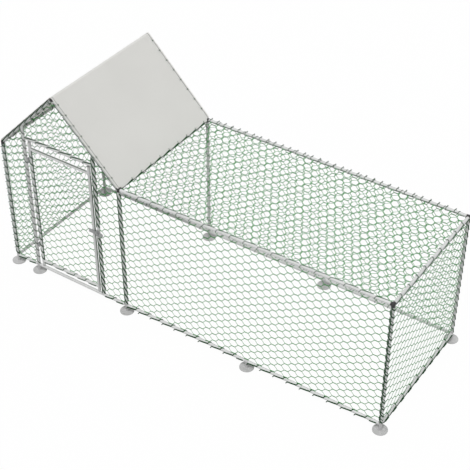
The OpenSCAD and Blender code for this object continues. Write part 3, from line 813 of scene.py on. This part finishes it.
def model_wrapped_end():
    """A wire that comes from the netting over a tube along Y, with its twisted end beyond the tube."""
    reach = TUBE_R + WIRE_R
    turns = [math.pi - (math.pi - WRAP_LIFT) * i / WRAP_STEPS for i in range(WRAP_STEPS + 1)]
    bend = [Vector((math.cos(turn), 0, math.sin(turn))) * reach for turn in turns]
    wrap = bend_wire("cut_end_wrap", [bend], WIRE_R)
    end = model_cut_end(KNOT_STEPS)
    end.location = Vector((math.cos(WRAP_LIFT), 0, math.sin(WRAP_LIFT))) * reach
    end.rotation_euler = (0, -WRAP_LIFT, 0)
    settle(end)
    return joined(wrap, end)


def cut_ends(name, end, along, up, first, step, count):
    """Cut ends in a row along a tube."""
    end.name = name
    lay(end, along, up, first)
    array(end, count, step)
    apply_modifiers(end)
    finish_piece(end, "green_wire", "frame", DARK_WIRE_PAINTED_SHADE)


def row_knots(name, x, side, top):
    """Ends of the netting's wires twisted off on a front post, one for each row of meshes."""
    outward = side.normalized()
    first = Z_RAIL + FRONT_SHIFT[2] + ROW
    count = math.floor((top - first) / ROW) + 1
    seat = Vector((x, Y_FRONT, first)) + outward * TUBE_R
    cut_ends(name, model_cut_end(KNOT_STEPS), outward, Z, seat, Z * ROW, count)


def wire_ends():
    """Cut ends for each row past the back top rail and on two posts, and each turn on three bottom rails."""
    rows = math.floor((X_RIGHT - X_JOINT - 2 * GAP) / ROW)
    first_row = Vector((X_JOINT + ROW / 2, Y_BACK, Z_EAVE))
    cut_ends("cut_ends_top_back", model_wrapped_end(), Y, Z, first_row, X * ROW, rows)
    row_knots("cut_ends_post_front_left", X_LEFT, LEFT_OF_CORNER_POST, Z_EAVE - GAP)
    row_knots("cut_ends_post_hinge", X_HINGE_POST, LEFT_OF_HINGE_POST, Z_DOOR_POST - GAP)
    for name, first, last in (("inner", X_JOINT, X_RUN_MIDDLE), ("outer", X_RUN_MIDDLE, X_RIGHT)):
        turns = math.floor((last - first - 2 * GAP) / PERIOD)
        seat = Vector((first + GAP, Y_FRONT, Z_RAIL)) - (Y + Z) * UNDER_RAIL_SEAT * TUBE_R
        cut_ends("cut_ends_bottom_" + name, model_cut_end(UNDER_RAIL_STEPS), UNDER_RAIL_WAY,
                 UNDER_RAIL_WAY.orthogonal().normalized(), seat, X * PERIOD, turns)
    turns = math.floor((Y_BACK - Y_FRONT - 2 * GAP) / PERIOD)
    seat = Vector((X_RIGHT + TUBE_R + 2 * WIRE_R, Y_FRONT + 2 * GAP, Z_RAIL))
    cut_ends("cut_ends_bottom_right", model_cut_end(BESIDE_RAIL_STEPS), Y, X, seat, Y * PERIOD, turns)


lace_posts()
edge_wires()
lace_rails()
lace_rafters()
wire_ends()


# Roof cloth

def ease(value, first, last):
    """From 0 to 1 between two values, smoothly."""
    share = min(1.0, max(0.0, (value - first) / (last - first)))
    return share * share * (3 - 2 * share)


def cloth_section(reach):
    """Place and outward direction on the cloth's right half, a given way along it from the ridge."""
    bend = CLOTH_R * PITCH
    if reach < bend:
        turn = math.pi / 2 - reach / CLOTH_R
        centre = Vector((X_RIDGE, 0, Z_RIDGE))
    elif reach < bend + SLOPE:
        turn = math.pi / 2 - PITCH
        down = Vector((math.cos(PITCH), 0, -math.sin(PITCH)))
        centre = Vector((X_RIDGE, 0, Z_RIDGE)) + down * (reach - bend)
    else:
        turn = math.pi / 2 - PITCH - (reach - bend - SLOPE) / CLOTH_R
        centre = Vector((X_JOINT, 0, Z_EAVE))
    outward = Vector((math.cos(turn), 0, math.sin(turn)))
    return centre + outward * CLOTH_R, outward


def drape(reach, across):
    """A point of the cloth: sagging between its tubes, doubled along its hems, drawn in at its ties."""
    place, outward = cloth_section(abs(reach))
    down_slope = abs(reach) - CLOTH_R * PITCH
    on_slope = min(1.0, max(0.0, down_slope / SLOPE))
    slack = 1 - (across / Y_BACK) ** SAG_ACROSS if abs(across) < Y_BACK else 0.0
    lift = CLOTH_T / 2 * ease(abs(across), HEM_LINE - HEM_RISE, HEM_LINE + HEM_RISE)
    from_tie = (down_slope - TIE_FIRST) / TIE_PITCH
    drawn = (1 + math.cos(2 * math.pi * from_tie)) / 2
    lift -= PUCKER * drawn * ease(abs(across), HEM_LINE - PUCKER_WIDTH, HEM_LINE)
    place = place + outward * (lift - CLOTH_SAG * math.sin(math.pi * on_slope) ** SAG_ALONG * slack)
    if reach < 0:
        place.x = 2 * X_RIDGE - place.x
    return Vector((place.x, across, place.z))


def spaced(value, stops):
    """A grid's place from -1 to 1, moved so that its lines lie closer where the cloth bends."""
    size = abs(value)
    for (first, low_place), (last, high_place) in zip(stops, stops[1:]):
        if size <= last:
            break
    return math.copysign(low_place + (high_place - low_place) * (size - first) / (last - first), value)


def roof_cloth():
    deselect()
    bpy.ops.mesh.primitive_grid_add(x_subdivisions=GRID_ALONG, y_subdivisions=GRID_ACROSS, size=2)
    cloth = bpy.context.object
    cloth.name = "roof_cloth"
    uv = cloth.data.uv_layers.new(name="cloth")
    flat = {}
    for vertex in cloth.data.vertices:
        across = spaced(vertex.co.y, ACROSS_STOPS)
        short = CORNER_SHORT * ease(abs(across), CORNER_START, CORNER_END)
        reach = spaced(vertex.co.x, REACH_STOPS) * (1 - short / HALF_GIRTH)
        flat[vertex.index] = (reach, across)
        vertex.co = drape(reach, across)
    for loop in cloth.data.loops:
        uv.data[loop.index].uv = flat[loop.vertex_index]
    thick = cloth.modifiers.new("thickness", "SOLIDIFY")
    thick.thickness = CLOTH_T
    thick.offset = 0
    apply_modifiers(cloth)
    pick(cloth)
    bpy.ops.object.shade_smooth_by_angle(angle=SHARP_EDGE)
    finish_piece(cloth, "roof_cloth", "frame")
    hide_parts("roof_cover")


def lace_hem():
    """Lacing that holds the cloth's right hem to the tube under it, one turn for each pair of columns."""
    lace("lacing_hem_joint", Vector((X_JOINT, Y_FRONT + HEM_LACE_START, Z_EAVE)),
         Vector((X_JOINT, Y_BACK - 2 * GAP, Z_EAVE)), PERIOD, ON_JOINT_HEM, ALONG_HEM,
         over=CLOTH_R + CLOTH_T / 2)


def model_tie():
    """A wire tie round a rafter and the hem on it, drawn tight, with its ends twisted off over the seam."""
    deselect()
    reach = CLOTH_R + CLOTH_T + TIE_R
    bpy.ops.mesh.primitive_torus_add(
        major_segments=TIE_SEGMENTS, minor_segments=TIE_SIDES, major_radius=reach, minor_radius=TIE_R)
    tie = bpy.context.object
    end = model_cut_end(TIE_STEPS)
    end.location = Vector((-reach, 0, 0))
    end.rotation_euler = (0, -math.pi / 2, 0)
    settle(end)
    return joined(tie, end)


def hem_ties():
    """Ties that hold the cloth's front and back hems to the rafters, one for each row of meshes."""
    count = math.floor((SLOPE - GAP) / TIE_PITCH)
    tie = model_tie()
    for side, way in (("left", -1), ("right", 1)):
        down = Vector((way * math.cos(PITCH), 0, -math.sin(PITCH)))
        for wall_name, y in (("front", Y_FRONT), ("back", Y_BACK)):
            ties = copy_of(tie, f"hem_ties_{wall_name}_{side}")
            lay(ties, Y.cross(down), down, Vector((X_RIDGE, y, Z_RIDGE)) + down * TIE_FIRST)
            array(ties, count, down * TIE_PITCH)
            apply_modifiers(ties)
            finish_piece(ties, "green_wire", "frame", DARK_WIRE_PAINTED_SHADE)
    bpy.data.objects.remove(tie)


roof_cloth()
lace_hem()
hem_ties()


# Studio

def rays_of(tree, *kinds):
    """1 for rays of these kinds, and 0 for others."""
    rays = tree.nodes.new("ShaderNodeLightPath")
    seen = rays.outputs[kinds[0]]
    for kind in kinds[1:]:
        seen = maths(tree, "MAXIMUM", seen, rays.outputs[kind])
    return seen


def pale_floor():
    """A floor that is seen almost white, and that lights the run as grey paint would."""
    deselect()
    bpy.ops.mesh.primitive_plane_add(size=FLOOR_SIZE, location=(0, 0, FLOOR_Z))
    floor = bpy.context.object
    floor.name = "studio_floor"
    material = bpy.data.materials.new("pale_floor")
    material.use_nodes = True
    tree = material.node_tree
    tree.nodes.clear()
    output = tree.nodes.new("ShaderNodeOutputMaterial")
    paint = add(tree, "ShaderNodeBsdfDiffuse", Color=FLOOR_PAINT)
    glow = add(tree, "ShaderNodeEmission", Color=WHITE, Strength=FLOOR_GLOW)
    share = maths(tree, "MULTIPLY", rays_of(tree, "Is Camera Ray", "Is Glossy Ray"), FLOOR_GLOW_SHARE)
    mix = tree.nodes.new("ShaderNodeMixShader")
    tree.links.new(share, mix.inputs["Fac"])
    tree.links.new(paint.outputs["BSDF"], mix.inputs[1])
    tree.links.new(glow.outputs["Emission"], mix.inputs[2])
    tree.links.new(mix.outputs["Shader"], output.inputs["Surface"])
    floor.data.materials.append(material)


def soft_light():
    """A white sky that lights the run less than it shows, and a wide sun high in front."""
    world = bpy.data.worlds.new("studio")
    world.use_nodes = True
    bpy.context.scene.world = world
    tree = world.node_tree
    background = tree.nodes["Background"]
    seen = rays_of(tree, "Is Camera Ray", "Is Glossy Ray", "Is Transmission Ray")
    tree.links.new(spread(tree, seen, SKY_LIGHT, SKY_SEEN), background.inputs["Strength"])
    background.inputs["Color"].default_value = WHITE
    deselect()
    bpy.ops.object.light_add(type="SUN", rotation=SUN_TURN)
    key = bpy.context.object
    key.name = "key_light"
    key.data.energy = SUN_STRENGTH
    key.data.angle = SUN_WIDTH


def photo_camera():
    data = bpy.data.cameras.new("camera")
    data.lens = CAMERA_LENS
    data.sensor_width = CAMERA_SENSOR
    camera = bpy.data.objects.new("camera", data)
    camera.location = CAMERA_PLACE
    camera.rotation_euler = CAMERA_TURN
    bpy.context.scene.collection.objects.link(camera)
    bpy.context.scene.camera = camera


pale_floor()
soft_light()
photo_camera()
bpy.context.scene.view_settings.view_transform = "Standard"

bpy.context.view_layer.update()
